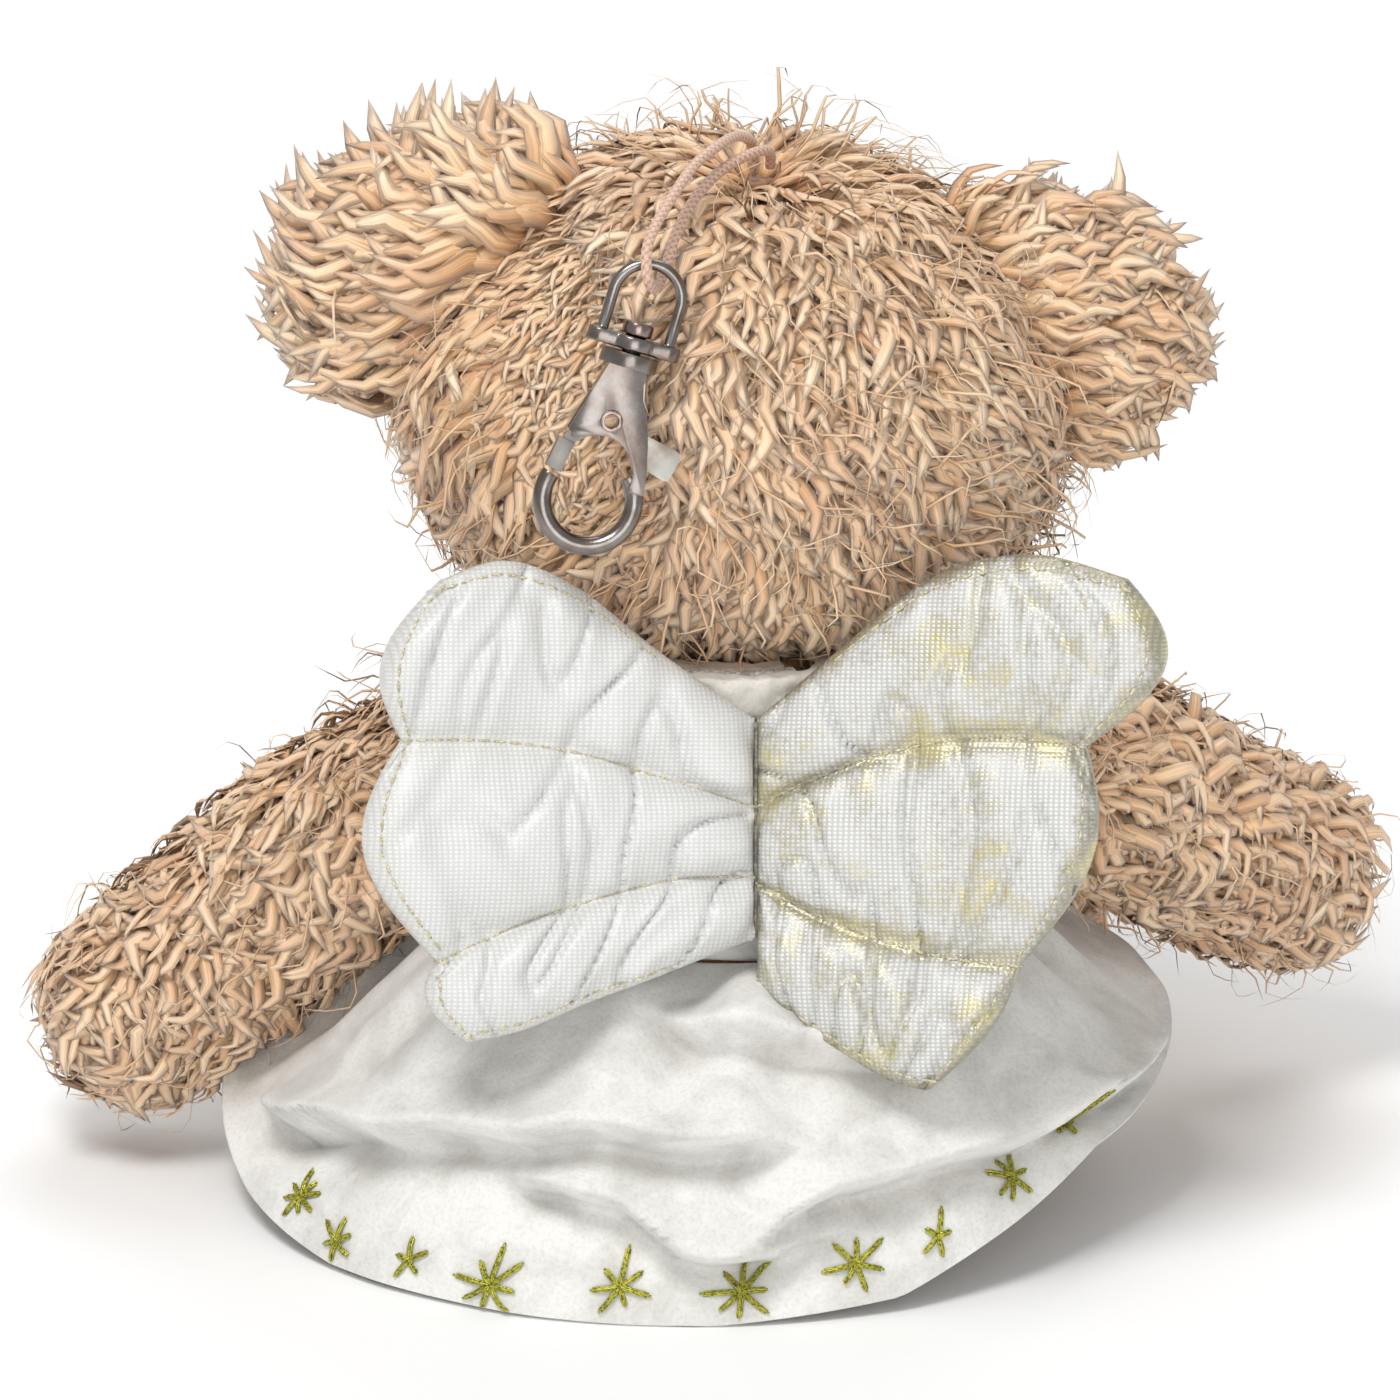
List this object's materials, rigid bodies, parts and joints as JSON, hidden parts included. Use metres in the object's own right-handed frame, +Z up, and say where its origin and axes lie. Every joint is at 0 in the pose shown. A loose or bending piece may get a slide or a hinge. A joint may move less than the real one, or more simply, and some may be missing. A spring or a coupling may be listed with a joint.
{
  "type": "plush keychain",
  "caption": "Seated plush bear in a dress with quilted wings, hung from a braided cord loop and a swivel clasp.",
  "frame": {"origin": "on the flat seat that the bear sits on, under the middle of its neck", "axes": "+Z up, +Y the way the bear faces, +X towards the bear's right; the wings and the clasp are on the -Y side"},
  "size_m": [0.145, 0.1037, 0.1273],
  "materials": {
    "pile_fabric": "long curly pile",
    "short_pile": "short pile",
    "filling": "polyester fibre",
    "minky": "white velour",
    "knit": "pearl knit",
    "foil_knit": "knit with gold foil print",
    "gold_thread": "metallic thread",
    "dark_thread": "embroidery thread",
    "cord": "braided",
    "black_plastic": "polished",
    "white_plastic": "moulded",
    "nickel": "gunmetal nickel plate",
    "steel": "stamped sheet"
  },
  "bodies": {
    "bear": {"head_left_panel": "pile_fabric", "head_right_panel": "pile_fabric", "head_stuffing": "filling", "left_ear_back": "pile_fabric", "left_ear_front": "short_pile", "right_ear_back": "pile_fabric", "right_ear_front": "short_pile", "muzzle": "pile_fabric", "muzzle_stuffing": "filling", "nose": "black_plastic", "mouth_stitching": "dark_thread", "left_eye": "black_plastic", "right_eye": "black_plastic", "left_eye_washer": "white_plastic", "right_eye_washer": "white_plastic", "body_skin": "pile_fabric", "body_stuffing": "filling", "dress_bodice": "minky", "dress_skirt": "minky", "neckband_left": "minky", "neckband_right": "minky", "fastener_hooks": "white_plastic", "fastener_loops": "white_plastic", "star_embroidery": "gold_thread", "wing_seam_tape": "filling", "cord_knot": "cord"},
    "left_arm": {"left_arm_skin": "pile_fabric", "left_arm_stuffing": "filling"},
    "right_arm": {"right_arm_skin": "pile_fabric", "right_arm_stuffing": "filling"},
    "left_leg": {"left_leg_skin": "pile_fabric", "left_leg_stuffing": "filling", "left_sole": "short_pile"},
    "right_leg": {"right_leg_skin": "pile_fabric", "right_leg_stuffing": "filling", "right_sole": "short_pile"},
    "left_wing": {"left_wing_back": "knit", "left_wing_front": "knit", "left_wing_batting": "filling"},
    "right_wing": {"right_wing_back": "foil_knit", "right_wing_front": "knit", "right_wing_batting": "filling"},
    "cord": {"cord_loop": "cord"},
    "swivel": {"swivel_eye": "nickel"},
    "clasp_hook": {"swivel_post": "nickel", "hook_body": "nickel", "gate_rivet": "nickel", "gate_spring": "steel"},
    "gate": {"gate_lever": "steel"}
  },
  "joints": [
    {"name": "left_arm_lift", "type": "hinge", "parent": "bear", "child": "left_arm", "pos_m": [-0.0295, -0.002, 0.053], "axis": [0, 1, 0], "range_deg": [0, 60], "stiffness_Nm_per_rad": 0.02},
    {"name": "right_arm_lift", "type": "hinge", "parent": "bear", "child": "right_arm", "pos_m": [0.0295, -0.002, 0.053], "axis": [0, -1, 0], "range_deg": [0, 60], "stiffness_Nm_per_rad": 0.02},
    {"name": "left_leg_splay", "type": "hinge", "parent": "bear", "child": "left_leg", "pos_m": [-0.017, 0.004, 0.0125], "axis": [0, 0, 1], "range_deg": [-3, 12], "stiffness_Nm_per_rad": 0.03},
    {"name": "right_leg_splay", "type": "hinge", "parent": "bear", "child": "right_leg", "pos_m": [0.017, 0.004, 0.0125], "axis": [0, 0, -1], "range_deg": [-3, 12], "stiffness_Nm_per_rad": 0.03},
    {"name": "left_wing_flap", "type": "hinge", "parent": "bear", "child": "left_wing", "pos_m": [0.0023, -0.0365, 0.041], "axis": [0, 0.3156, 0.9489], "range_deg": [0, 40], "stiffness_Nm_per_rad": 0.008},
    {"name": "right_wing_flap", "type": "hinge", "parent": "bear", "child": "right_wing", "pos_m": [0.0023, -0.0365, 0.041], "axis": [0, -0.3156, -0.9489], "range_deg": [0, 40], "stiffness_Nm_per_rad": 0.008},
    {"name": "cord_lift", "type": "hinge", "parent": "bear", "child": "cord", "pos_m": [0.003, 0.002, 0.1205], "axis": [-1, 0, 0], "range_deg": [0, 75]},
    {"name": "eye_swing", "type": "hinge", "parent": "cord", "child": "swivel", "pos_m": [-0.00883, -0.02724, 0.11839], "axis": [-0.9548, 0, 0.2974], "range_deg": [0, 60]},
    {"name": "clasp_spin", "type": "hinge", "parent": "swivel", "child": "clasp_hook", "pos_m": [-0.012, -0.0303, 0.1082], "axis": [0.2859, 0.2756, 0.9178], "continuous": true},
    {"name": "gate_open", "type": "hinge", "parent": "clasp_hook", "child": "gate", "pos_m": [-0.01403, -0.03226, 0.10168], "axis": [0.082, -0.9613, 0.2632], "range_deg": [0, 28], "stiffness_Nm_per_rad": 0.0006, "springref_deg": -20.05}
  ]
}
